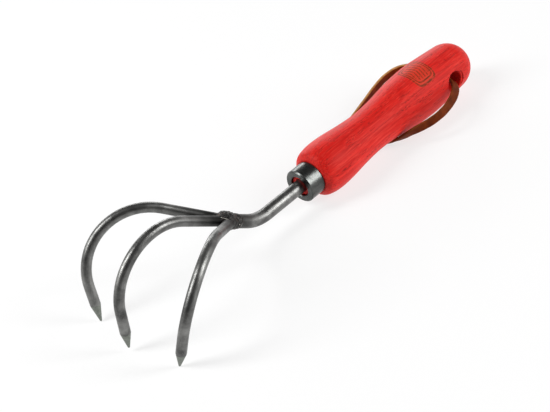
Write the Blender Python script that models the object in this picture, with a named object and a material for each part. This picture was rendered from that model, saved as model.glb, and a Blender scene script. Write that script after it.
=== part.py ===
"""Hand cultivator: three welded tines on a bent shank, a turned ash handle,
a steel ferrule and a leather thong that swings in the hanging hole."""
from math import atan, cos, pi, radians, sin

import bmesh
import bpy
from mathutils import Vector

# ---------------------------------------------------------------- driving dimensions, metres
CLEARANCE = 0.0003

TINE_RADIUS = 0.003
TINE_STRAIGHT = 0.0345
TINE_BEND_RADIUS = 0.0335
TINE_BEND = radians(120.5)
TINE_CONE = 0.0104
TINE_TIP_RADIUS = 0.0006
CENTRE_TINE_END = 0.0235
SIDE_TINE_END = 0.021
SIDE_TINE_YAW = radians(33.5)
SIDE_TINE_ROOT = (0.0007, 0.0019)
SIDE_TINE_STRAIGHT = TINE_STRAIGHT + 0.002

SHANK_RADIUS = 0.004
SHANK_STRAIGHT = 0.0155
SHANK_BEND_RADIUS = 0.0255
SHANK_BEND = radians(36.0)
SHANK_TO_FERRULE = 0.0267
TANG_IN_HANDLE = 0.068
TANG_CHAMFER = 0.0015

WELD_CENTRE = Vector((-0.0015, 0.0, 0.0))
WELD_SIZE = Vector((0.0095, 0.008, 0.0053))

FERRULE_LENGTH = 0.0105
FERRULE_RADIUS = 0.0103
FERRULE_BORE = 0.0064
FERRULE_CHAMFER = 0.0007

TENON_RECESS = 0.0016
HANDLE_START = FERRULE_LENGTH + CLEARANCE
# Distance from the ferrule's front face, and radius, down the handle.
HANDLE_OUTLINE = (
    (HANDLE_START, 0.0112),
    (0.0128, 0.0139),
    (0.0170, 0.0152),
    (0.0230, 0.0157),
    (0.0320, 0.0153),
    (0.0450, 0.0139),
    (0.0590, 0.0130),
    (0.0730, 0.0137),
    (0.0860, 0.0154),
    (0.0970, 0.0164),
    (0.1080, 0.0167),
    (0.1190, 0.0161),
)
HANDLE_TAPER = 0.09
DOME_CENTRE = 0.1345
DOME_RADIUS = 0.0147

HOLE_CENTRE = 0.1249
HOLE_RADIUS = 0.0062
HOLE_ROUNDING = 0.0010
HOLE_MOUTH = 0.0141

THONG_WIDTH = 0.005
THONG_THICKNESS = 0.0018
# The thong's route in millimetres: along, across and above the handle's axis from the
# ferrule's front face, and the roll of its flat side in degrees. It starts at the knot.
THONG_ROUTE = (
    (50.0, 17.7, -5.9, -20),
    (55.6, 17.7, -5.0, -14),
    (61.8, 18.4, -3.9, -9),
    (69.0, 19.8, -3.0, -6),
    (77.3, 21.9, -2.7, -6),
    (86.4, 24.2, -2.4, -5),
    (96.0, 26.4, -1.6, -4),
    (106.0, 27.3, -0.2, 0),
    (113.5, 25.9, 0.9, 0),
    (119.3, 22.6, 1.5, 0),
    (123.0, 18.3, 1.4, 0),
    (125.0, 13.4, 1.0, 0),
    (126.0, 8.6, 0.5, 0),
    (126.5, 3.6, 0.1, 4),
    (126.4, -3.6, -0.2, 12),
    (125.5, -8.8, -0.3, 26),
    (123.5, -14.0, -0.3, 42),
    (119.3, -19.0, -0.3, 50),
    (113.0, -22.9, -0.3, 44),
    (105.4, -25.3, -0.9, 34),
    (96.3, -25.8, -2.1, 26),
    (87.8, -24.0, -3.3, 16),
    (81.8, -20.6, -4.8, -2),
    (77.8, -16.4, -7.2, -28),
    (75.4, -11.6, -10.6, -50),
    (73.8, -6.4, -13.6, -67),
    (72.0, -0.8, -15.0, -84),
    (68.9, 4.0, -14.9, -96),
    (64.8, 7.4, -14.0, -106),
    (60.0, 9.6, -13.3, -111),
    (55.5, 10.8, -12.9, -113),
    (51.2, 11.5, -12.5, -113),
    (47.2, 12.0, -12.0, -112),
)
ROUTE_STEPS = 2
KNOT_CENTRE = (43.6, 15.9, -9.6)
KNOT_SIZE = (4.4, 3.7, 3.7)
TAIL_LENGTH = 0.011

# The tool rests on its belly and its side tines: these turn and lift it onto z = 0.
REST_PITCH = radians(35.6)
REST_PLACE = (-0.0591, 0.0, 0.02963)

ROD_SIDES = 32
TURNED_SIDES = 64

ALONG = Vector((1, 0, 0))
ACROSS = Vector((0, 1, 0))
UP = Vector((0, 0, 1))


# ---------------------------------------------------------------- scene and materials
def clear_scene():
    for item in list(bpy.data.objects):
        bpy.data.objects.remove(item)


def make_material(name, colour, roughness, metallic):
    material = bpy.data.materials.new(name)
    material.use_nodes = True
    shader = material.node_tree.nodes["Principled BSDF"]
    shader.inputs["Base Color"].default_value = (*colour, 1.0)
    shader.inputs["Roughness"].default_value = roughness
    shader.inputs["Metallic"].default_value = metallic
    return material


def make_empty(name, parent, place, pitch=0.0):
    empty = bpy.data.objects.new(name, None)
    bpy.context.collection.objects.link(empty)
    empty.parent = parent
    empty.location = place
    empty.rotation_euler = (0.0, pitch, 0.0)
    return empty


def link(name, data, parent, material):
    item = bpy.data.objects.new(name, data)
    bpy.context.collection.objects.link(item)
    item.parent = parent
    data.materials.append(material)
    return item


# ---------------------------------------------------------------- modelling helpers
def ring(centre, side, other, radius, count):
    """A circle of points, or one point where the radius is nothing."""
    if radius == 0.0:
        return [centre]
    turns = [2 * pi * step / count for step in range(count)]
    return [centre + side * (radius * cos(a)) + other * (radius * sin(a)) for a in turns]


def skin(name, rings, parent, material, looped=False):
    """One closed solid through a row of rings, capped at both ends unless it is looped."""
    bm = bmesh.new()
    rows = [[bm.verts.new(point) for point in points] for points in rings]
    pairs = list(zip(rows, rows[1:]))
    if looped:
        pairs.append((rows[-1], rows[0]))
    for first, second in pairs:
        count = max(len(first), len(second))
        for step in range(count):
            after = (step + 1) % count
            if len(first) == 1:
                bm.faces.new((first[0], second[after], second[step]))
            elif len(second) == 1:
                bm.faces.new((first[step], first[after], second[0]))
            else:
                bm.faces.new((first[step], first[after], second[after], second[step]))
    if not looped:
        for row in (rows[0], rows[-1]):
            if len(row) > 1:
                bm.faces.new(row)
    bmesh.ops.recalc_face_normals(bm, faces=bm.faces)
    mesh = bpy.data.meshes.new(name)
    bm.to_mesh(mesh)
    bm.free()
    mesh.shade_smooth()
    mesh.set_sharp_from_angle(angle=radians(35))
    return link(name, mesh, parent, material)


def turned(name, outline, parent, material, looped=False):
    """A solid turned about the local X axis from (distance, radius) points."""
    rings = [ring(ALONG * x, ACROSS, UP, radius, TURNED_SIDES) for x, radius in outline]
    return skin(name, rings, parent, material, looped)


def rod(name, path, heading, parent, material):
    """A round rod that stays in the upright plane of its heading.

    The path is a list of (outwards, up, slope, radius) stations."""
    side = UP.cross(heading).normalized()
    rings = []
    for outwards, height, slope, radius in path:
        centre = heading * outwards + UP * height
        normal = UP * cos(slope) - heading * sin(slope)
        rings.append(ring(centre, side, normal, radius, ROD_SIDES))
    return skin(name, rings, parent, material)


def smooth_curve(points, steps):
    """A Catmull-Rom curve through the points, with the given steps between each two."""
    points = [Vector(point) for point in points]
    first = points[0] * 2 - points[1]
    last = points[-1] * 2 - points[-2]
    padded = [first] + points + [last]
    out = []
    for index in range(len(points) - 1):
        a, b, c, d = padded[index:index + 4]
        for step in range(steps):
            t = step / steps
            even = b * 2 + (a * 2 - b * 5 + c * 4 - d) * t ** 2
            odd = (c - a) * t + (b * 3 - a - c * 3 + d) * t ** 3
            out.append((even + odd) * 0.5)
    out.append(points[-1])
    return out


def cut(item, cutter, operation="DIFFERENCE"):
    """Boolean by another object, which is kept as a hidden guide."""
    modifier = item.modifiers.new(operation.lower() + "_" + cutter.name, "BOOLEAN")
    modifier.operation = operation
    modifier.solver = "EXACT"
    modifier.object = cutter
    cutter.hide_render = True
    cutter.display_type = "WIRE"


# ---------------------------------------------------------------- rods
def tine_path(straight, end, extra=0.0):
    """Stations of one tine: straight, bent down through an arc, straight to a ground point."""
    thick = TINE_RADIUS + extra
    path = [(0.0, 0.0, 0.0, thick), (straight, 0.0, 0.0, thick)]
    steps = 28
    for step in range(1, steps + 1):
        turn = TINE_BEND * step / steps
        reach = straight + TINE_BEND_RADIUS * sin(turn)
        drop = -TINE_BEND_RADIUS * (1 - cos(turn))
        path.append((reach, drop, -turn, thick))
    reach, drop = path[-1][:2]
    cone_start = end - TINE_CONE
    cone_end = end - TINE_TIP_RADIUS
    stations = [(cone_start, thick), (cone_end, TINE_TIP_RADIUS + extra), (end, 0.0)]
    for distance, radius in stations:
        out = reach + distance * cos(TINE_BEND)
        down = drop - distance * sin(TINE_BEND)
        path.append((out, down, -TINE_BEND, radius))
    return path


def side_heading(hand):
    return Vector((-cos(SIDE_TINE_YAW), hand * sin(SIDE_TINE_YAW), 0))


def make_tines(tool, steel, guide):
    """The centre tine, and two side tines coped around it and the shank's end."""
    centre = rod("centre_tine", tine_path(TINE_STRAIGHT, CENTRE_TINE_END), -ALONG, tool, steel)
    centre.location = (-CLEARANCE, 0.0, 0.0)
    gap = CLEARANCE
    cope_outline = (
        (-0.030, 0.0),
        (-0.030, TINE_RADIUS + gap),
        (-gap, TINE_RADIUS + gap),
        (-gap, SHANK_RADIUS + gap),
        (0.012, SHANK_RADIUS + gap),
        (0.012, 0.0),
    )
    cope = turned("cope_guide", cope_outline, tool, guide)
    guides = [cope]
    for name, hand in (("left_tine", -1), ("right_tine", 1)):
        place = (SIDE_TINE_ROOT[0], hand * SIDE_TINE_ROOT[1], 0.0)
        path = tine_path(SIDE_TINE_STRAIGHT, SIDE_TINE_END)
        tine = rod(name, path, side_heading(hand), tool, steel)
        tine.location = place
        cut(tine, cope)
        wide = tine_path(SIDE_TINE_STRAIGHT, SIDE_TINE_END, CLEARANCE)
        clearance = rod(name + "_guide", wide, side_heading(hand), tool, guide)
        clearance.location = place
        guides.append(clearance)
    return guides


def make_shank(tool, steel):
    """The shank: straight at the weld, bent up, then straight through the ferrule as a tang."""
    path = [(0.0, 0.0, 0.0, SHANK_RADIUS), (SHANK_STRAIGHT, 0.0, 0.0, SHANK_RADIUS)]
    steps = 12
    for step in range(1, steps + 1):
        turn = SHANK_BEND * step / steps
        reach = SHANK_STRAIGHT + SHANK_BEND_RADIUS * sin(turn)
        rise = SHANK_BEND_RADIUS * (1 - cos(turn))
        path.append((reach, rise, turn, SHANK_RADIUS))
    reach, rise = path[-1][:2]
    tang = SHANK_TO_FERRULE + TANG_IN_HANDLE
    for distance, radius in ((tang - TANG_CHAMFER, SHANK_RADIUS), (tang, SHANK_RADIUS - TANG_CHAMFER)):
        out = reach + distance * cos(SHANK_BEND)
        height = rise + distance * sin(SHANK_BEND)
        path.append((out, height, SHANK_BEND, radius))
    return rod("shank", path, ALONG, tool, steel)


def ferrule_place():
    """The centre of the ferrule's front face in the tool's frame."""
    reach = SHANK_STRAIGHT + SHANK_BEND_RADIUS * sin(SHANK_BEND) + SHANK_TO_FERRULE * cos(SHANK_BEND)
    rise = SHANK_BEND_RADIUS * (1 - cos(SHANK_BEND)) + SHANK_TO_FERRULE * sin(SHANK_BEND)
    return (reach, 0.0, rise)


def make_welds(tool, bead, guides):
    """Weld metal above and below the joint, filled in around the four rods."""
    flat = CLEARANCE / 2
    for name, hand in (("top_weld", 1), ("bottom_weld", -1)):
        rings = []
        steps = 12
        for step in range(steps + 1):
            rise = (pi / 2) * step / steps
            height = hand * (flat + WELD_SIZE.z * sin(rise))
            spread = cos(rise) if step < steps else 0.0
            centre = WELD_CENTRE + UP * height
            along = ALONG * WELD_SIZE.x
            across = ACROSS * WELD_SIZE.y
            rings.append(ring(centre, along, across, spread, 40))
        weld = skin(name, rings, tool, bead)
        for guide in guides:
            cut(weld, guide)


# ---------------------------------------------------------------- handle and ferrule
def handle_outline():
    """Bore, tenon, outer surface and domed butt, from the bore's floor to the butt's centre."""
    bore = SHANK_RADIUS + CLEARANCE
    floor = TANG_IN_HANDLE + 0.001
    tenon = FERRULE_BORE - CLEARANCE
    dome_start = atan(HANDLE_TAPER)
    join = (DOME_CENTRE + DOME_RADIUS * sin(dome_start), DOME_RADIUS * cos(dome_start))
    body = smooth_curve([Vector((x, r)) for x, r in HANDLE_OUTLINE + (join,)], 4)
    outline = [(floor, 0.0), (floor, bore), (TENON_RECESS, bore), (TENON_RECESS, tenon)]
    outline += [(HANDLE_START, tenon)]
    outline += [tuple(point) for point in body]
    steps = 14
    for step in range(1, steps):
        turn = dome_start + (pi / 2 - dome_start) * step / steps
        outline.append((DOME_CENTRE + DOME_RADIUS * sin(turn), DOME_RADIUS * cos(turn)))
    outline.append((DOME_CENTRE + DOME_RADIUS, 0.0))
    return outline


def hole_cutter(grip, guide):
    """The hanging hole with its rounded mouths, lying across the handle."""
    outline = [(-0.020, HOLE_RADIUS + 0.004)]
    steps = 5
    for step in range(steps + 1):
        turn = (pi / 2) * step / steps
        spread = HOLE_RADIUS + HOLE_ROUNDING * (1 - sin(turn))
        outline.append((-HOLE_MOUTH - HOLE_ROUNDING * (cos(turn) - 1), spread))
    outline += [(-x, radius) for x, radius in reversed(outline)]
    rings = [ring(ACROSS * y, ALONG, UP, radius, 48) for y, radius in outline]
    cutter = skin("hole_guide", rings, grip, guide)
    cutter.location = (HOLE_CENTRE, 0.0, 0.0)
    return cutter


def make_handle(grip, wood, guide):
    handle = turned("handle", handle_outline(), grip, wood)
    cut(handle, hole_cutter(grip, guide))
    return handle


def make_ferrule(grip, steel):
    edge = FERRULE_CHAMFER
    outline = (
        (0.0, FERRULE_BORE + edge / 2),
        (0.0, FERRULE_RADIUS - edge),
        (edge, FERRULE_RADIUS),
        (FERRULE_LENGTH, FERRULE_RADIUS),
        (FERRULE_LENGTH, FERRULE_BORE),
        (edge / 2, FERRULE_BORE),
    )
    return turned("ferrule", outline, grip, steel, looped=True)


# ---------------------------------------------------------------- thong
def make_thong(pivot, leather):
    """A flat lace tied into a loop, as a bevelled curve along its route."""
    millimetre = 0.001
    route = []
    for x, y, z, roll in THONG_ROUTE:
        route.append(Vector((x * millimetre - HOLE_CENTRE, y * millimetre, z * millimetre, radians(roll))))
    stations = smooth_curve(route, ROUTE_STEPS)
    curve = bpy.data.curves.new("thong", "CURVE")
    curve.dimensions = "3D"
    curve.twist_mode = "Z_UP"
    curve.bevel_depth = THONG_THICKNESS / 2
    curve.extrude = (THONG_WIDTH - THONG_THICKNESS) / 2
    curve.bevel_resolution = 2
    curve.use_fill_caps = True
    curve.render_resolution_u = 0
    spline = curve.splines.new("POLY")
    spline.points.add(len(stations) - 1)
    for point, station in zip(spline.points, stations):
        point.co = (*station[:3], 1.0)
        point.tilt = station[3]
    return link("thong", curve, pivot, leather)


def make_knot(pivot, leather):
    """The knot that closes the loop, with its two short tails."""
    millimetre = 0.001
    centre = Vector(KNOT_CENTRE) * millimetre - ALONG * HOLE_CENTRE
    size = Vector(KNOT_SIZE) * millimetre
    rings = []
    steps = 12
    for step in range(steps + 1):
        turn = pi * step / steps
        spread = sin(turn) if 0 < step < steps else 0.0
        place = centre - ALONG * (size.x * cos(turn))
        rings.append(ring(place, ACROSS * size.y, UP * size.z, spread, 24))
    knot = skin("thong_knot", rings, pivot, leather)
    half_width = THONG_WIDTH / 2
    half_thick = THONG_THICKNESS / 2
    for number, lean in ((1, 0.35), (2, -0.1)):
        heading = Vector((-1.0, lean, 0.06 * number)).normalized()
        side = UP.cross(heading).normalized() * half_thick
        start = centre + side * (3 - 2 * number) * 1.5
        ends = []
        for distance in (0.0, TAIL_LENGTH):
            spot = start + heading * distance
            corners = ((1, 1), (1, -1), (-1, -1), (-1, 1))
            ends.append([spot + side * a + UP * (half_width * b) for a, b in corners])
        tail = skin("tail_guide_" + str(number), ends, pivot, leather)
        cut(knot, tail, "UNION")
    return knot


# ---------------------------------------------------------------- assembly
def build():
    clear_scene()
    steel = make_material("tine_steel", (0.10, 0.10, 0.095), 0.38, 1.0)
    ring_steel = make_material("ferrule_steel", (0.20, 0.20, 0.19), 0.32, 1.0)
    bead = make_material("weld_metal", (0.06, 0.055, 0.05), 0.55, 1.0)
    wood = make_material("stained_ash", (0.62, 0.03, 0.02), 0.45, 0.0)
    leather = make_material("thong_leather", (0.13, 0.035, 0.01), 0.6, 0.0)
    guide = make_material("guide", (0.5, 0.5, 0.5), 0.5, 0.0)
    tool = make_empty("tool_frame", None, REST_PLACE, REST_PITCH)
    grip = make_empty("handle_frame", tool, ferrule_place(), -SHANK_BEND)
    pivot = make_empty("thong_pivot", grip, (HOLE_CENTRE, 0.0, 0.0))
    make_shank(tool, steel)
    guides = make_tines(tool, steel, guide)
    make_welds(tool, bead, guides)
    make_ferrule(grip, ring_steel)
    make_handle(grip, wood, guide)
    make_thong(pivot, leather)
    make_knot(pivot, leather)
    bpy.context.view_layer.update()


build()
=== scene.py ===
"""Hand cultivator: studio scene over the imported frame."""
from math import cos, pi, radians, sin

import bpy
import numpy as np
from mathutils import Matrix, Vector, noise


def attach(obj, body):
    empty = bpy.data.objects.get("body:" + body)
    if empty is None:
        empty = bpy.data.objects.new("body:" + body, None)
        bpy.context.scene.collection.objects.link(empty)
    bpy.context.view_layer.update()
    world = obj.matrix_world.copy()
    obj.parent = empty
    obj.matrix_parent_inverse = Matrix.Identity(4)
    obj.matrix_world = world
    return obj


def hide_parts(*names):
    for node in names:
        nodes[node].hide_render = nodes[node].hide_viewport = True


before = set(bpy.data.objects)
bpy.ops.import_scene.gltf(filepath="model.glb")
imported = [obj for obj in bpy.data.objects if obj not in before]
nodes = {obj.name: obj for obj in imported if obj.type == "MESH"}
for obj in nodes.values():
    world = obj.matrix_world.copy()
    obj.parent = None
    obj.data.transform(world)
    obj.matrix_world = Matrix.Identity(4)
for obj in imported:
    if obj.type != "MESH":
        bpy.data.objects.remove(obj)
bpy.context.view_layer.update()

scene = bpy.context.scene
scene.view_settings.view_transform = "Standard"

MM = 0.001

# Frames of the two straight parts: the handle's, from the ferrule's front face towards
# the butt, and the tool's, from the weld, with the shank's root along +X.
HANDLE_PITCH = radians(-0.4)
TOOL_PITCH = radians(35.6)
HANDLE_FRAME = Matrix.Translation((-0.004775, 0.0, 0.016028)) @ Matrix.Rotation(HANDLE_PITCH, 4, "Y")
TOOL_FRAME = Matrix.Translation((-0.0591, 0.0, 0.02963)) @ Matrix.Rotation(TOOL_PITCH, 4, "Y")

# ------------------------------------------------------------------ camera
camera_data = bpy.data.cameras.new("camera")
camera_data.lens = 95.98
camera_data.sensor_width = 36.0
camera_data.clip_start = 0.01
camera = bpy.data.objects.new("camera", camera_data)
camera.location = (-0.42705, -0.52358, 0.51048)
camera.rotation_euler = (radians(52.342), radians(11.205), radians(-46.05))
scene.collection.objects.link(camera)
scene.camera = camera


# ------------------------------------------------------------------ mesh helpers
def mesh_object(name, points, faces):
    """A smooth shaded mesh, linked to the scene."""
    mesh = bpy.data.meshes.new(name)
    mesh.from_pydata([tuple(p) for p in points], [], faces)
    mesh.update()
    mesh.polygons.foreach_set("use_smooth", [True] * len(mesh.polygons))
    obj = bpy.data.objects.new(name, mesh)
    scene.collection.objects.link(obj)
    return obj


def vertex_values(obj, name, values):
    """A named number on each vertex, for the material to read."""
    layer = obj.data.attributes.new(name, "FLOAT", "POINT")
    layer.data.foreach_set("value", [float(v) for v in values])


def shifted(faces, base):
    """Faces whose points come after the first base points of a larger mesh."""
    return [tuple(i + base for i in face) for face in faces]


def ball_grid(rows, around):
    """Directions all round a point, in rows about the X axis, and the faces between them."""
    ways = []
    for i in range(rows + 1):
        lat = pi * i / rows
        for k in range(around):
            lon = 2 * pi * k / around
            ways.append((cos(lat), sin(lat) * cos(lon), sin(lat) * sin(lon)))
    faces = []
    for i in range(rows):
        a, b = i * around, (i + 1) * around
        for k in range(around):
            n = (k + 1) % around
            faces.append((a + k, a + n, b + n, b + k))
    return ways, faces


def smooth_curve(points, steps):
    """A Catmull-Rom curve through the points, with the given steps between each two."""
    points = [np.array(p, float) for p in points]
    padded = [points[0] * 2 - points[1]] + points + [points[-1] * 2 - points[-2]]
    out = []
    for i in range(len(points) - 1):
        a, b, c, d = padded[i:i + 4]
        for step in range(steps):
            t = step / steps
            even = b * 2 + (a * 2 - b * 5 + c * 4 - d) * t ** 2
            odd = (c - a) * t + (b * 3 - a - c * 3 + d) * t ** 3
            out.append((even + odd) * 0.5)
    out.append(points[-1])
    return out


def path_length(path):
    return sum(float(np.linalg.norm(b - a)) for a, b in zip(path, path[1:]))


def lace_section(width, thickness):
    """Outline of a flat lace: (across the width, through the thickness, cut edge or not)."""
    corner = 0.30 * thickness
    w, t = width / 2 - corner, thickness / 2 - corner
    out = []
    for cx, cy, start in ((w, t, 0), (-w, t, 90), (-w, -t, 180), (w, -t, 270)):
        for k in range(4):
            a = radians(start + 30 * k)
            cut = 1.0 if (k < 3 if start % 180 == 0 else k > 0) else 0.0
            out.append((cx + corner * cos(a), cy + corner * sin(a), cut))
        if start % 180 == 0:
            flat = 1 if start == 0 else -1
            for share in (0.94, 0.3, -0.3, -0.94):
                out.append((flat * w * share, flat * thickness / 2, 0.0))
    return out


def lace_rings(path, wide, width, thickness, seed, closed=False):
    """A flat lace along path, its width along the wide directions.

    Returns its points and faces, and for each point whether it is on a cut edge and how
    far it is from one flat side to the other.
    """
    section = lace_section(width, thickness)
    count = len(section)
    points, edge, side = [], [], []
    for i, (p, w) in enumerate(zip(path, wide)):
        ahead = path[(i + 1) % len(path)] if closed or i + 1 < len(path) else p
        behind = path[i - 1] if closed or i > 0 else p
        tangent = Vector(ahead - behind).normalized()
        across = Vector(w) - tangent * Vector(w).dot(tangent)
        across.normalize()
        normal = tangent.cross(across)
        for k, (a, b, cut) in enumerate(section):
            wobble = 1 + 0.05 * noise.noise(Vector(p) * 220 + Vector((k * 0.35, seed, 0)))
            points.append(Vector(p) + across * a * wobble + normal * b * wobble)
            edge.append(cut)
            side.append(b / thickness + 0.5)
    rows = len(path)
    faces = []
    for i in range(rows if closed else rows - 1):
        j = (i + 1) % rows
        for k in range(count):
            n = (k + 1) % count
            faces.append((i * count + k, j * count + k, j * count + n, i * count + n))
    if not closed:
        faces.append(tuple(range(count)))
        faces.append(tuple(range((rows - 1) * count, rows * count))[::-1])
    return points, faces, edge, side


# ------------------------------------------------------------------ thong
THONG_WIDTH = 0.005
THONG_THICKNESS = 0.0018
# Steps of the smooth curve between two points of the route.
THONG_STEPS = 6
# Route in millimetres in the handle's frame, and the roll of the flat side in degrees.
THONG_ROUTE = (
    (50.0, 17.7, -5.9, -20), (55.6, 17.7, -5.0, -14), (61.8, 18.4, -3.9, -9), (69.0, 19.8, -3.0, -6),
    (77.3, 21.9, -2.7, -6), (86.4, 24.2, -2.4, -5), (96.0, 26.4, -1.6, -4), (106.0, 27.3, -0.2, 0),
    (113.5, 25.9, 0.9, 0), (119.3, 22.6, 1.5, 0), (123.0, 18.3, 1.4, 0), (125.0, 13.4, 1.0, 0),
    (126.0, 8.6, 0.5, 0), (126.5, 3.6, 0.1, 4), (126.4, -3.6, -0.2, 12), (125.5, -8.8, -0.3, 26),
    (123.5, -14.0, -0.3, 42), (119.3, -19.0, -0.3, 50), (113.0, -22.9, -0.3, 44), (105.4, -25.3, -0.9, 34),
    (96.3, -25.8, -2.1, 26), (87.8, -24.0, -3.3, 16), (81.8, -20.6, -4.8, -2), (77.8, -16.4, -7.2, -28),
    (75.4, -11.6, -10.6, -50), (73.8, -6.4, -13.6, -67), (72.0, -0.8, -15.0, -84), (68.9, 4.0, -14.9, -96),
    (64.8, 7.4, -14.0, -106), (60.0, 9.6, -13.3, -111), (55.5, 10.8, -12.9, -113), (51.2, 11.5, -12.5, -113),
    (47.2, 12.0, -12.0, -112),
)


def to_world(p):
    """A place in millimetres in the handle's frame, in metres in the world."""
    return np.array(HANDLE_FRAME @ Vector((p[0] * MM, p[1] * MM, p[2] * MM)))


def lace_object(name, lace):
    points, faces, edge, side = lace
    obj = mesh_object(name, points, faces)
    vertex_values(obj, "cut_edge", edge)
    vertex_values(obj, "flesh_side", side)
    return obj


def make_thong():
    stations = smooth_curve(THONG_ROUTE, THONG_STEPS)
    path = [to_world(s) for s in stations]
    wide = []
    for i, s in enumerate(stations):
        ahead = path[min(i + 1, len(path) - 1)]
        behind = path[max(i - 1, 0)]
        tangent = Vector(ahead - behind).normalized()
        up = Vector((0, 0, 1)) - tangent * tangent.z
        up.normalize()
        wide.append(Matrix.Rotation(radians(s[3]), 3, tangent) @ up)
    lace = lace_rings(path, wide, THONG_WIDTH, THONG_THICKNESS, 3.0)
    return lace_object("leather_thong", lace), path


# ------------------------------------------------------------------ knot
# Middle of the knot and half sizes of its packed core, in the handle's frame. All of the
# knot's places, radii and lengths are in millimetres, and its angles are in degrees.
KNOT_AT = (43.6, 15.9, -9.6)
CORE_HALF = (3.9, 2.9, 2.7)


def knot_wrap(tilt, radius, lift):
    """One wrap: a closed ring of lace around the strands."""
    steps = 40
    lean = Matrix.Rotation(radians(tilt), 3, Vector((0, 0.75, 0.66)))
    axis = lean @ Vector((1, 0.12, 0.05)).normalized()
    first = axis.orthogonal().normalized()
    second = axis.cross(first)
    path = []
    for k in range(steps):
        a = 2 * pi * k / steps
        r = radius * (1 + 0.06 * sin(2 * a + tilt))
        path.append(to_world(Vector(KNOT_AT) + first * r * cos(a) + second * r * sin(a) + axis * lift))
    return lace_rings(path, [axis] * steps, 0.0042, 0.0015, tilt, closed=True)


def knot_tail(start, length, lean, drop):
    """One tail: it leaves the knot along the handle and bends aside by lean and drop."""
    steps = 14
    path, wide = [], []
    for k in range(steps + 1):
        t = k / steps
        bend = t * t
        path.append(to_world((start[0] - length * t, start[1] + lean * bend, start[2] + drop * bend)))
        wide.append(Vector((0.0, 0.25 * lean * t, 1.0)))
    return lace_rings(path, wide, 0.0048, 0.0017, lean)


def knot_core():
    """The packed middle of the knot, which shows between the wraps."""
    ways, faces = ball_grid(14, 24)
    points = []
    for x, y, z in ways:
        points.append(to_world((
            KNOT_AT[0] - CORE_HALF[0] * x,
            KNOT_AT[1] + CORE_HALF[1] * y,
            KNOT_AT[2] + CORE_HALF[2] * z,
        )))
    return points, faces, [0.0] * len(points), [0.2] * len(points)


def make_knot():
    """Overhand knot: two crossed wraps over the strands, two tails and the core."""
    groups = (
        knot_wrap(28, 3.05, 1.3),
        knot_wrap(-32, 2.75, -1.4),
        knot_tail((41.5, 16.6, -8.6), 12.5, 2.9, -0.6),
        knot_tail((41.5, 15.0, -10.0), 11.5, -1.6, 1.2),
        knot_core(),
    )
    points, faces, edge, side = [], [], [], []
    for group_points, group_faces, group_edge, group_side in groups:
        faces += shifted(group_faces, len(points))
        points += group_points
        edge += group_edge
        side += group_side
    return lace_object("thong_knot_wraps", (points, faces, edge, side))


# ------------------------------------------------------------------ weld
# The weld is a radial surface about the joint, in millimetres in the tool's frame: a lump
# and a fillet along each rod, blended into one smooth union.
WELD_MIDDLE = np.array([-1.0, 0.0, 0.0])
LUMP_AT = (-1.4, 0.0, 0.3)
LUMP_HALF = (6.6, 6.6, 5.2)
# Weight of the lump's own measure, which is 1 on its surface, beside the rods' millimetres.
LUMP_WEIGHT = 1.9
BLEND_SHARPNESS = 4.2
TINE_YAW = radians(33.5)
# How far to the side of the middle the outer tines start.
TINE_START = 1.9
# Each rod's heading, radius, length in the weld, and weld thickness over it at both ends.
WELD_RODS = (
    ((1, 0, 0), 4.0, 6.4, 0.55, 0.35),
    ((-1, 0, 0), 3.0, 8.0, 0.50, -0.35),
    ((-cos(TINE_YAW), sin(TINE_YAW), 0), 3.0, 9.5, 0.50, -0.45),
    ((-cos(TINE_YAW), -sin(TINE_YAW), 0), 3.0, 9.5, 0.50, -0.45),
)
# The weld's surface is looked for from the outside in, in coarse steps that then halve.
NEAREST_REACH, FURTHEST_REACH = 2.0, 15.5
REACH_STEP = 0.22
COARSE_STEPS, HALVINGS = 60, 14
# Spatter: middle radius of a bead, how much it varies, and how far its middle stands proud.
BEAD_RADIUS, BEAD_VARIES, BEAD_PROUD = 0.30, 0.14, 0.06
SPATTER_GROOVE = (
    (-8.6, -1.9, 3.0), (-6.2, -3.4, 2.5), (-4.6, -4.4, 1.6), (-5.4, -4.9, -0.6), (-6.0, -4.6, -1.8),
)
SPATTER_STRAYS = ((3.5, -3.4, 2.6), (4.6, -4.1, -0.4), (-2.0, 4.0, 4.4), (1.5, 3.0, 4.0))


def weld_field(p):
    """Above zero inside the smooth union of the lump and the fillets."""
    lump = np.linalg.norm((p - LUMP_AT) / LUMP_HALF, axis=-1)
    total = np.exp(-BLEND_SHARPNESS * (lump - 1) * LUMP_WEIGHT)
    for heading, radius, length, thick, thin in WELD_RODS:
        h = np.array(heading, float)
        start = np.array([0.0, TINE_START * np.sign(h[1]), 0.0])
        along = np.clip((p - start) @ h, 0, length)
        gap = np.linalg.norm(p - start - along[..., None] * h, axis=-1)
        cover = thick + (thin - thick) * along / length
        total += np.exp(-BLEND_SHARPNESS * (gap - radius - cover))
    return np.log(total)


def weld_reach(rays):
    """How far the weld's surface lies from its middle along each ray."""
    low = np.full(len(rays), NEAREST_REACH)
    high = np.full(len(rays), FURTHEST_REACH)
    found = np.zeros(len(rays), bool)
    for step in range(COARSE_STEPS):
        reach = FURTHEST_REACH - step * REACH_STEP
        fresh = (weld_field(WELD_MIDDLE + rays * reach) > 0) & ~found
        high[fresh] = reach + REACH_STEP
        low[fresh] = reach
        found |= fresh
    for _ in range(HALVINGS):
        middle = (low + high) / 2
        inside = weld_field(WELD_MIDDLE + rays * middle[:, None]) > 0
        low = np.where(inside, middle, low)
        high = np.where(inside, high, middle)
    return low


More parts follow.
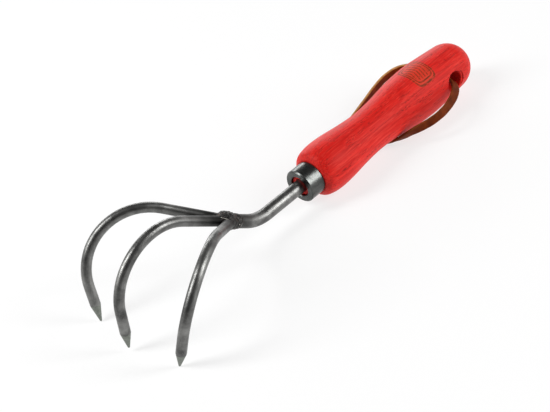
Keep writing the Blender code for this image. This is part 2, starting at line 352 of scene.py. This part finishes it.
def make_weld():
    """Weld metal with ripples, lumps and pits."""
    ways, faces = ball_grid(150, 300)
    rays = np.array(ways)
    points = []
    for ray, reach in zip(rays, weld_reach(rays)):
        p = Vector(WELD_MIDDLE + ray * reach)
        ripple = 0.14 * sin(reach * 4.4 + 3 * noise.noise(p * 0.5))
        rough = 0.34 * noise.noise(p * 0.8) + 0.13 * noise.noise(p * 2.6 + Vector((4, 0, 0)))
        pit = -0.28 * max(0.0, noise.noise(p * 1.4 + Vector((0, 9, 0))) - 0.28)
        # The relief fades out where the weld thins out along the rods.
        fade = min(1.0, max(0.15, (10.5 - reach) / 3.0))
        points.append(TOOL_FRAME @ ((p + Vector(ray) * (ripple + rough + pit) * fade) * MM))
    return mesh_object("weld_bead", points, faces)


def make_spatter():
    """Bright beads of spatter in the groove beside the middle tine, and a few strays."""
    aims = smooth_curve(SPATTER_GROOVE, 6)
    aims += [np.array(p) for p in SPATTER_STRAYS]
    aims = np.array(aims) - WELD_MIDDLE
    rays = aims / np.linalg.norm(aims, axis=1)[:, None]
    ways, bead_faces = ball_grid(6, 9)
    points, faces = [], []
    for index, (ray, reach) in enumerate(zip(rays, weld_reach(rays))):
        middle = Vector(WELD_MIDDLE + ray * (reach + BEAD_PROUD))
        size = BEAD_RADIUS + BEAD_VARIES * noise.noise(Vector((index * 1.7, 2, 5)))
        faces += shifted(bead_faces, len(points))
        for way in map(Vector, ways):
            lump = size * (1 + 0.25 * noise.noise(way * 1.8 + Vector((index, 0, 0))))
            points.append(TOOL_FRAME @ ((middle + way * lump) * MM))
    return mesh_object("weld_spatter", points, faces)


# ------------------------------------------------------------------ material helpers
def srgb(r, g, b):
    def linear(v):
        v /= 255
        return v / 12.92 if v <= 0.04045 else ((v + 0.055) / 1.055) ** 2.4
    return (linear(r), linear(g), linear(b), 1.0)


class Nodes:
    """Short names for one material's nodes and links."""

    def __init__(self, name):
        self.material = bpy.data.materials.new(name)
        self.material.use_nodes = True
        self.tree = self.material.node_tree
        self.shader = self.tree.nodes["Principled BSDF"]

    def link(self, a, b):
        self.tree.links.new(a, b)

    def new(self, kind):
        return self.tree.nodes.new(kind)

    def place(self):
        """Where the surface is, in metres."""
        return self.new("ShaderNodeTexCoord").outputs["Object"]

    def place_xyz(self):
        split = self.new("ShaderNodeSeparateXYZ")
        self.link(self.place(), split.inputs[0])
        return split.outputs[0], split.outputs[1], split.outputs[2]

    def distance(self, point):
        """How far the surface is from a point."""
        node = self.new("ShaderNodeVectorMath")
        node.operation = "DISTANCE"
        node.inputs[1].default_value = point
        self.link(self.place(), node.inputs[0])
        return node.outputs["Value"]

    def attribute(self, name):
        node = self.new("ShaderNodeAttribute")
        node.attribute_name = name
        return node.outputs["Fac"]

    def position(self, scale=(1, 1, 1), shift=(0, 0, 0)):
        """The place, stretched and shifted, for a noise to read."""
        mapping = self.new("ShaderNodeMapping")
        mapping.inputs["Scale"].default_value = scale
        mapping.inputs["Location"].default_value = shift
        self.link(self.place(), mapping.inputs["Vector"])
        return mapping.outputs["Vector"]

    def noise(self, vector, scale, detail=4.0, rough=0.5, warp=0.0):
        node = self.new("ShaderNodeTexNoise")
        node.inputs["Scale"].default_value = scale
        node.inputs["Detail"].default_value = detail
        node.inputs["Roughness"].default_value = rough
        node.inputs["Distortion"].default_value = warp
        self.link(vector, node.inputs["Vector"])
        return node.outputs["Fac"]

    def math(self, kind, a, b=0.0, c=0.0):
        node = self.new("ShaderNodeMath")
        node.operation = kind
        for socket, value in zip(node.inputs, (a, b, c)):
            if isinstance(value, (int, float)):
                socket.default_value = value
            else:
                self.link(value, socket)
        return node.outputs[0]

    def ramp(self, value, stops, smooth=False):
        """Colours or grey levels at the stops, by value."""
        node = self.new("ShaderNodeValToRGB")
        node.color_ramp.interpolation = "EASE" if smooth else "LINEAR"
        ramp = node.color_ramp
        while len(ramp.elements) < len(stops):
            ramp.elements.new(0.5)
        for element, (at, colour) in zip(ramp.elements, stops):
            element.position = at
            if isinstance(colour, (int, float)):
                colour = (colour, colour, colour, 1.0)
            element.color = colour
        self.link(value, node.inputs["Fac"])
        return node.outputs["Color"]

    def mix(self, fac, a, b):
        node = self.new("ShaderNodeMix")
        node.data_type = "RGBA"
        for socket, value in ((node.inputs[0], fac), (node.inputs[6], a), (node.inputs[7], b)):
            if isinstance(value, (int, float, tuple)):
                socket.default_value = value
            else:
                self.link(value, socket)
        return node.outputs[2]

    def bump(self, height, strength, distance):
        node = self.new("ShaderNodeBump")
        node.inputs["Strength"].default_value = strength
        node.inputs["Distance"].default_value = distance
        self.link(height, node.inputs["Height"])
        return node.outputs["Normal"]

    def set(self, **values):
        """Sets or links the shader's own sockets, named with _ for a space."""
        for name, value in values.items():
            socket = self.shader.inputs[name.replace("_", " ")]
            if isinstance(value, (int, float, tuple)):
                socket.default_value = value
            else:
                self.link(value, socket)


# ------------------------------------------------------------------ wood
# The burned mark on top of the belly: its middle and its half sizes in X and Y, and the
# height above which the handle counts as its top.
MARK_AT = (0.1002, -0.0028)
MARK_HALF = (0.0078, 0.0092)
MARK_ABOVE = 0.022
# How square the mark's rounded frame is.
MARK_POWER = 5.0


def burned_mark(m):
    """Masks of the plain mark, a frame around nested chevrons, and of the scorched wood."""
    x, y, z = m.place_xyz()
    along = m.math("DIVIDE", m.math("SUBTRACT", x, MARK_AT[0]), MARK_HALF[0])
    aside = m.math("ABSOLUTE", m.math("DIVIDE", m.math("SUBTRACT", y, MARK_AT[1]), MARK_HALF[1]))
    along_power = m.math("POWER", m.math("ABSOLUTE", along), MARK_POWER)
    aside_power = m.math("POWER", aside, MARK_POWER)
    # 1 on the outer frame, less inside it.
    reach = m.math("POWER", m.math("ADD", along_power, aside_power), 1 / MARK_POWER)
    outer = m.math("COMPARE", reach, 1.0, 0.050)
    inner = m.math("COMPARE", reach, 0.82, 0.040)
    slant = m.math("ADD", along, m.math("MULTIPLY", aside, 0.30))
    chevrons = m.math("COMPARE", m.math("PINGPONG", slant, 0.14), 0.0, 0.042)
    chevrons = m.math("MULTIPLY", chevrons, m.math("LESS_THAN", reach, 0.70))
    mark = m.math("MAXIMUM", m.math("MAXIMUM", outer, inner), chevrons)
    on_top = m.math("GREATER_THAN", z, MARK_ABOVE)
    worn = m.ramp(m.noise(m.position((420, 900, 900), (2, 2, 2)), 1.0, 2.0), ((0.34, 0.25), (0.56, 1.0)))
    mark = m.math("MULTIPLY", m.math("MULTIPLY", mark, on_top), worn)
    scorch = m.math("MULTIPLY", m.math("LESS_THAN", reach, 1.06), on_top)
    return mark, scorch


def wood_material():
    m = Nodes("red_stained_ash")
    # Broad cathedral figure, fine grain lines, and short dark pores, all along the handle.
    figure = m.noise(m.position((7, 90, 90)), 1.0, 3.0, 0.5, 0.5)
    fine = m.noise(m.position((30, 1500, 1500)), 1.0, 4.0, 0.6, 0.1)
    streak = m.noise(m.position((14, 620, 620), (3, 1, 2)), 1.0, 4.0, 0.55, 0.2)
    pores = m.noise(m.position((360, 2500, 2500), (7, 0, 0)), 1.0, 2.0, 0.4)
    band = m.noise(m.position((9, 420, 420), (1, 5, 0)), 1.0, 2.0, 0.5, 0.3)
    tone = m.ramp(figure, ((0.30, srgb(200, 24, 18)), (0.50, srgb(214, 32, 26)), (0.72, srgb(227, 44, 36))))
    tone = m.mix(m.ramp(streak, ((0.44, 0.0), (0.64, 0.50))), tone, srgb(164, 10, 10))
    tone = m.mix(m.ramp(fine, ((0.48, 0.0), (0.74, 0.42))), tone, srgb(240, 84, 72))
    where = m.ramp(band, ((0.50, 0.0), (0.60, 1.0)))
    dash = m.math("MULTIPLY", m.ramp(pores, ((0.565, 0.0), (0.625, 1.0))), where)
    tone = m.mix(m.math("MULTIPLY", dash, 0.62), tone, srgb(96, 8, 8))

    mark, scorch = burned_mark(m)
    tone = m.mix(m.math("MULTIPLY", scorch, 0.30), tone, srgb(196, 84, 50))
    tone = m.mix(m.math("MULTIPLY", mark, 0.94), tone, srgb(98, 42, 14))

    height = m.math("SUBTRACT", m.math("MULTIPLY", fine, 0.5), m.math("MULTIPLY", dash, 0.9))
    height = m.math("SUBTRACT", height, m.math("MULTIPLY", mark, 1.2))
    rough = m.ramp(fine, ((0.3, 0.46), (0.75, 0.58)))
    m.set(Base_Color=tone, Roughness=rough, Normal=m.bump(height, 0.35, 0.00022))
    m.set(IOR=1.3, Specular_IOR_Level=0.5, Specular_Tint=(1.0, 0.55, 0.50, 1.0))
    return m.material


# ------------------------------------------------------------------ metals
TINE_TIPS = ((-0.14235, 0.0, 0.00222), (-0.13556, 0.03209, 0.0), (-0.13556, -0.03209, 0.0))
# How far from its tip each tine is ground bright.
GROUND_LENGTH = 0.0113
# Middle of the tines' darkened roots, 7 mm out from the weld; the darkening is painted shade.
ROOT_SHADE_AT = TOOL_FRAME @ Vector((-0.007, 0.0, 0.0))


def ground_tips(m):
    """Mask of the tines' ground cones, with a slightly wavy border."""
    near = m.distance(TINE_TIPS[0])
    for tip in TINE_TIPS[1:]:
        near = m.math("MINIMUM", near, m.distance(tip))
    wave = m.math("MULTIPLY", m.noise(m.position(), 300.0, 2.0), 0.0012)
    return m.math("LESS_THAN", m.math("ADD", near, wave), GROUND_LENGTH)


def steel_material(name, dark, light, rough, grain, tines=False):
    """Steel with mill scale. With tines, it has ground tips, and roots darkened with painted shade and made
    rougher.
    """
    m = Nodes(name)
    cloud = m.noise(m.position(), 95.0, 5.0, 0.6, 0.4)
    speck = m.noise(m.position(), 1300.0, 4.0, 0.65)
    scale = m.noise(m.position((1, 1, 1), (3, 1, 0)), 520.0, 6.0, 0.7, 0.5)
    tone = m.ramp(cloud, ((0.32, dark), (0.68, light)))
    tone = m.mix(m.ramp(scale, ((0.50, 0.0), (0.70, 0.30))), tone, dark)
    tone = m.mix(m.ramp(speck, ((0.55, 0.0), (0.75, 0.45))), tone, light)
    shine = m.ramp(scale, ((0.35, rough), (0.7, rough + 0.10)))
    height = m.math("ADD", m.math("MULTIPLY", speck, 0.9), m.math("MULTIPLY", scale, 0.6))
    if tines:
        ground = ground_tips(m)
        grind = m.noise(m.position((500, 500, 2600)), 1.0, 3.0)
        face = m.ramp(grind, ((0.3, srgb(112, 116, 110)), (0.7, srgb(146, 150, 143))))
        tone = m.mix(ground, tone, face)
        shine = m.math("ADD", shine, m.math("MULTIPLY", ground, 0.16))
        height = m.math("ADD", height, m.math("MULTIPLY", grind, 0.5))
        # Painted shade: near the tines' roots the base colour turns near black, a little unevenly by the
        # cloud, and the roots also get rougher.
        root_shade = m.ramp(m.distance(ROOT_SHADE_AT), ((0.006, 0.97), (0.013, 0.72), (0.030, 0.0)), smooth=True)
        root_shade = m.math("MULTIPLY", root_shade, m.ramp(cloud, ((0.35, 0.9), (0.65, 1.0))))
        tone = m.mix(root_shade, tone, srgb(15, 14, 13))
        shine = m.math("ADD", shine, m.math("MULTIPLY", root_shade, 0.14))
    m.set(Base_Color=tone, Metallic=1.0, Roughness=shine, Normal=m.bump(height, grain, 0.00012))
    return m.material


def weld_material():
    """Dark burnt metal with bare patches and a little rust."""
    m = Nodes("weld_metal")
    cloud = m.noise(m.position(), 420.0, 5.0, 0.65, 0.6)
    rust = m.noise(m.position((1, 1, 1), (5, 2, 1)), 300.0, 4.0, 0.6, 0.9)
    grain = m.noise(m.position(), 2200.0, 3.0, 0.6)
    tone = m.ramp(cloud, ((0.30, srgb(24, 23, 22)), (0.55, srgb(50, 49, 48)), (0.75, srgb(112, 110, 107))))
    tone = m.mix(m.ramp(rust, ((0.57, 0.0), (0.70, 0.45))), tone, srgb(112, 74, 52))
    shine = m.ramp(cloud, ((0.3, 0.62), (0.75, 0.36)))
    height = m.math("ADD", cloud, m.math("MULTIPLY", grain, 0.3))
    m.set(Base_Color=tone, Metallic=0.75, Roughness=shine, Normal=m.bump(height, 0.6, 0.0003))
    return m.material


# ------------------------------------------------------------------ leather
def leather_material():
    """Oiled outside, redder flesh side, and cut edges that are pale on the +Y strand only; on the -Y strand
    the cut edges take mostly the flat side's brown, as painted shade.
    """
    m = Nodes("oiled_leather")
    grain = m.noise(m.position(), 1900.0, 4.0, 0.6)
    cloud = m.noise(m.position(), 210.0, 3.0, 0.5)
    fibre = m.noise(m.position((420, 420, 2400)), 1.0, 3.0, 0.6)
    outer = m.ramp(cloud, ((0.3, srgb(86, 36, 3)), (0.7, srgb(122, 58, 6))))
    inner = m.ramp(cloud, ((0.3, srgb(82, 28, 8)), (0.7, srgb(114, 46, 14))))
    flat = m.mix(m.ramp(m.attribute("flesh_side"), ((0.35, 0.0), (0.65, 1.0))), inner, outer)
    cut = m.ramp(fibre, ((0.3, srgb(150, 102, 52)), (0.7, srgb(206, 160, 98))))
    # Painted shade: going across Y, the cut edges turn from pale on the +Y strand to mostly the flat side's
    # brown on the -Y strand.
    across = m.place_xyz()[1]
    edge_lit_side = m.math("ADD", m.math("MULTIPLY", across, 20.0), 0.5)
    edge_lit_side = m.ramp(edge_lit_side, ((0.35, 0.10), (0.65, 0.95)))
    tone = m.mix(m.math("MULTIPLY", m.attribute("cut_edge"), edge_lit_side), flat, cut)
    cell = m.new("ShaderNodeTexVoronoi")
    cell.inputs["Scale"].default_value = 1500.0
    m.link(m.position(), cell.inputs["Vector"])
    height = m.math("ADD", m.math("MULTIPLY", cell.outputs["Distance"], 0.6), grain)
    shine = m.ramp(grain, ((0.3, 0.48), (0.7, 0.66)))
    m.set(Base_Color=tone, Roughness=shine, Normal=m.bump(height, 0.4, 0.0002))
    m.set(IOR=1.3, Specular_IOR_Level=0.3, Specular_Tint=(1.0, 0.6, 0.35, 1.0))
    return m.material


# ------------------------------------------------------------------ CAD nodes: shading and finish
SHARP_ANGLE = radians(32)
MERGE_DISTANCE = 0.002 * MM


def smooth_group():
    """Merge the facets' shared corners and shade smooth, with sharp edges kept."""
    group = bpy.data.node_groups.new("shade_by_angle", "GeometryNodeTree")
    group.interface.new_socket("Geometry", in_out="INPUT", socket_type="NodeSocketGeometry")
    group.interface.new_socket("Geometry", in_out="OUTPUT", socket_type="NodeSocketGeometry")
    start = group.nodes.new("NodeGroupInput")
    end = group.nodes.new("NodeGroupOutput")
    merge = group.nodes.new("GeometryNodeMergeByDistance")
    merge.inputs["Distance"].default_value = MERGE_DISTANCE
    faces = group.nodes.new("GeometryNodeSetShadeSmooth")
    faces.domain = "FACE"
    edges = group.nodes.new("GeometryNodeSetShadeSmooth")
    edges.domain = "EDGE"
    angle = group.nodes.new("GeometryNodeInputMeshEdgeAngle")
    limit = group.nodes.new("FunctionNodeCompare")
    limit.data_type = "FLOAT"
    limit.operation = "LESS_THAN"
    limit.inputs["B"].default_value = SHARP_ANGLE
    group.links.new(angle.outputs["Unsigned Angle"], limit.inputs["A"])
    group.links.new(start.outputs[0], merge.inputs["Geometry"])
    group.links.new(merge.outputs["Geometry"], faces.inputs["Geometry"])
    group.links.new(faces.outputs["Geometry"], edges.inputs["Geometry"])
    group.links.new(limit.outputs["Result"], edges.inputs["Shade Smooth"])
    group.links.new(edges.outputs["Geometry"], end.inputs[0])
    return group


def finish_node(name, material, shading):
    node = nodes[name]
    node.data.materials.clear()
    node.data.materials.append(material)
    by_angle = node.modifiers.new("shade_by_angle", "NODES")
    by_angle.node_group = shading
    weighted = node.modifiers.new("weighted_normals", "WEIGHTED_NORMAL")
    weighted.keep_sharp = True
    weighted.weight = 80


# ------------------------------------------------------------------ the pieces
thong, thong_path = make_thong()
knot = make_knot()
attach(thong, "thong_loop")
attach(knot, "thong_loop")
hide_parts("thong")
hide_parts("thong_knot")
path_length(thong_path)

weld = make_weld()
spatter = make_spatter()
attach(weld, "tool")
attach(spatter, "tool")
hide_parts("top_weld", "bottom_weld")

wood = wood_material()
rod_steel = steel_material("drawn_steel", srgb(76, 76, 75), srgb(138, 138, 136), 0.36, 0.20, tines=True)
ring_steel = steel_material("turned_steel", srgb(58, 60, 59), srgb(102, 104, 102), 0.25, 0.09)
bead_steel = steel_material("spatter_metal", srgb(150, 146, 138), srgb(214, 210, 200), 0.30, 0.10)
weld_metal = weld_material()
leather = leather_material()

shading = smooth_group()
finish_node("handle", wood, shading)
finish_node("ferrule", ring_steel, shading)
for rod_name in ("shank", "centre_tine", "left_tine", "right_tine"):
    finish_node(rod_name, rod_steel, shading)

finishes = (
    (thong, leather, "thong_leather"),
    (knot, leather, "thong_leather"),
    (weld, weld_metal, "weld_metal"),
    (spatter, bead_steel, "weld_metal"),
)
for piece, material, slot in finishes:
    piece.data.materials.append(material)


# ------------------------------------------------------------------ floor and light
FLOOR_HALF = 6.0
# The floor lies a little below the tines' tips, so that the two never share a surface.
FLOOR_DROP = 0.0002


def make_floor():
    """Matt floor that glows a little, so that it stays white around a faint shadow."""
    s = FLOOR_HALF
    floor = mesh_object("floor", [(-s, -s, 0), (s, -s, 0), (s, s, 0), (-s, s, 0)], [(0, 1, 2, 3)])
    floor.location.z = -FLOOR_DROP
    m = Nodes("floor_paint")
    m.set(Base_Color=(0.26, 0.26, 0.26, 1.0), Roughness=0.9, Specular_IOR_Level=0.0)
    m.set(Emission_Color=(1.0, 1.0, 1.0, 1.0), Emission_Strength=0.72)
    floor.data.materials.append(m.material)


def sky_level(tree, axis, stops):
    """Grey level of the sky by how far the direction leans along an axis."""
    direction = tree.nodes.new("ShaderNodeTexCoord")
    lean = tree.nodes.new("ShaderNodeVectorMath")
    lean.operation = "DOT_PRODUCT"
    lean.inputs[1].default_value = axis
    ramp = tree.nodes.new("ShaderNodeValToRGB")
    ramp.color_ramp.elements.new(0.5)
    for element, (at, level) in zip(ramp.color_ramp.elements, stops):
        element.position = at
        element.color = (level, level, level, 1.0)
    tree.links.new(direction.outputs["Generated"], lean.inputs[0])
    tree.links.new(lean.outputs["Value"], ramp.inputs["Fac"])
    return ramp.outputs["Color"]


def make_sky():
    """A white cove all round, darker overhead, with one dark flag in front of the tool."""
    world = bpy.data.worlds.new("studio")
    world.use_nodes = True
    tree = world.node_tree
    overhead = sky_level(tree, (0, 0, 1), ((0.05, 1.0), (0.45, 0.40), (0.80, 0.12)))
    flag = sky_level(tree, (-0.60, -0.78, 0.15), ((0.30, 1.0), (0.62, 0.30), (0.85, 0.06)))
    product = tree.nodes.new("ShaderNodeVectorMath")
    product.operation = "MULTIPLY"
    tree.links.new(overhead, product.inputs[0])
    tree.links.new(flag, product.inputs[1])
    tree.links.new(product.outputs["Vector"], tree.nodes["Background"].inputs["Color"])
    scene.world = world


def area_light(name, place, target, size, power):
    """A rectangular light of the given sides in metres and power in watts."""
    data = bpy.data.lights.new(name, "AREA")
    data.shape = "RECTANGLE"
    data.size, data.size_y = size
    data.energy = power
    light = bpy.data.objects.new(name, data)
    light.location = place
    heading = Vector(target) - Vector(place)
    light.rotation_euler = heading.to_track_quat("-Z", "Y").to_euler()
    scene.collection.objects.link(light)


make_floor()
make_sky()
area_light("key", (-0.80, 0.55, 0.95), (0, 0, 0), (0.40, 0.9), 14.5)
area_light("fill", (0.65, -0.95, 0.62), (0, 0, 0), (0.35, 0.9), 11.5)
area_light("back", (0.60, 1.05, 0.30), (0, 0, 0.02), (1.0, 0.3), 5.5)
